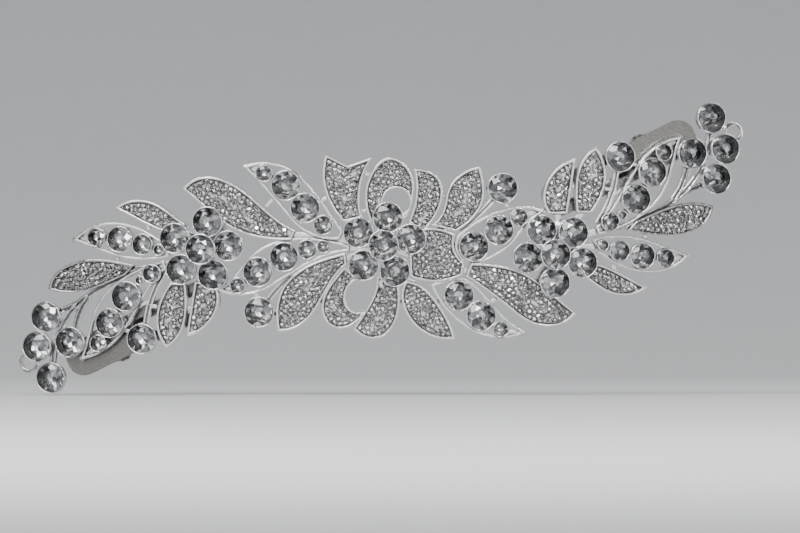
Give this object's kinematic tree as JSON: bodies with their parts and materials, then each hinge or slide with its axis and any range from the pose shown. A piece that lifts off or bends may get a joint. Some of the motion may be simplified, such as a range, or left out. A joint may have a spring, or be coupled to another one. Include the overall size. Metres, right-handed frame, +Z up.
{
  "type": "rhinestone hair clip",
  "caption": "Long curved openwork hairpiece of leaves, bow and flowers set with clear stones, with end rings and sprung clips behind.",
  "frame": {"origin": "middle of the back of the bow, where the piece rests on the hair", "axes": "+X along the piece, +Z up as worn, the set face looks along -Y and the clips face +Y"},
  "size_m": [0.182, 0.0314, 0.0728],
  "materials": {
    "plated_casting": "cast alloy with bright rhodium plating, polished rims and matt beds",
    "clear_stone": "faceted colourless glass with a silver foil back",
    "clip_steel": "pressed sheet steel, nickel plated",
    "spring_wire": "drawn spring steel wire"
  },
  "bodies": {
    "hairpiece": {"centre_berry_stones": "clear_stone", "centre_bow_lower_loop_pave": "clear_stone", "centre_bow_lower_tail_pave": "clear_stone", "centre_bow_side_ribbon_pave": "clear_stone", "centre_bow_upper_loop_pave": "clear_stone", "centre_bow_upper_ribbon_pave": "clear_stone", "centre_bow_upper_tail_pave": "clear_stone", "centre_casting": "plated_casting", "centre_flower_casting": "plated_casting", "centre_flower_stones": "clear_stone", "centre_lower_broad_leaf_pave": "clear_stone", "centre_lower_leaf_pave": "clear_stone", "centre_lower_oval_leaf_stones": "clear_stone", "centre_lower_short_leaf_pave": "clear_stone", "centre_lower_stone_leaf_stones": "clear_stone", "centre_upper_broad_leaf_pave": "clear_stone", "centre_upper_oval_leaf_stones": "clear_stone", "centre_upper_short_leaf_pave": "clear_stone", "centre_upper_stone_leaf_stones": "clear_stone", "left_berry_stones": "clear_stone", "left_clip_base": "clip_steel", "left_clip_pin": "clip_steel", "left_clip_spring": "spring_wire", "left_end_ring": "plated_casting", "left_flower_casting": "plated_casting", "left_flower_stones": "clear_stone", "left_inner_leaf_pave": "clear_stone", "left_long_stone_leaf_stones": "clear_stone", "left_lower_leaf_pave": "clear_stone", "left_outer_leaf_pave": "clear_stone", "left_side_stone_leaf_stones": "clear_stone", "left_spray_casting": "plated_casting", "left_top_leaf_pave": "clear_stone", "right_berry_stones": "clear_stone", "right_clip_base": "clip_steel", "right_clip_pin": "clip_steel", "right_clip_spring": "spring_wire", "right_end_ring": "plated_casting", "right_flower_casting": "plated_casting", "right_flower_stones": "clear_stone", "right_inner_leaf_pave": "clear_stone", "right_long_stone_leaf_stones": "clear_stone", "right_lower_leaf_pave": "clear_stone", "right_outer_leaf_pave": "clear_stone", "right_side_stone_leaf_stones": "clear_stone", "right_spray_casting": "plated_casting", "right_top_leaf_pave": "clear_stone"},
    "left_lever": {"left_clip_lever": "clip_steel"},
    "right_lever": {"right_clip_lever": "clip_steel"}
  },
  "joints": [
    {"name": "left_clip_hinge", "type": "hinge", "parent": "hairpiece", "child": "left_lever", "pos_m": [-0.06616, 0.01439, -0.02363], "axis": [-0.4149, 0.1026, 0.9041], "range_deg": [0, 28], "stiffness_Nm_per_rad": 0.06, "springref_deg": -28.65},
    {"name": "right_clip_hinge", "type": "hinge", "parent": "hairpiece", "child": "right_lever", "pos_m": [0.06616, 0.01439, 0.02363], "axis": [0.4149, 0.1026, -0.9041], "range_deg": [0, 28], "stiffness_Nm_per_rad": 0.06, "springref_deg": -28.65}
  ]
}
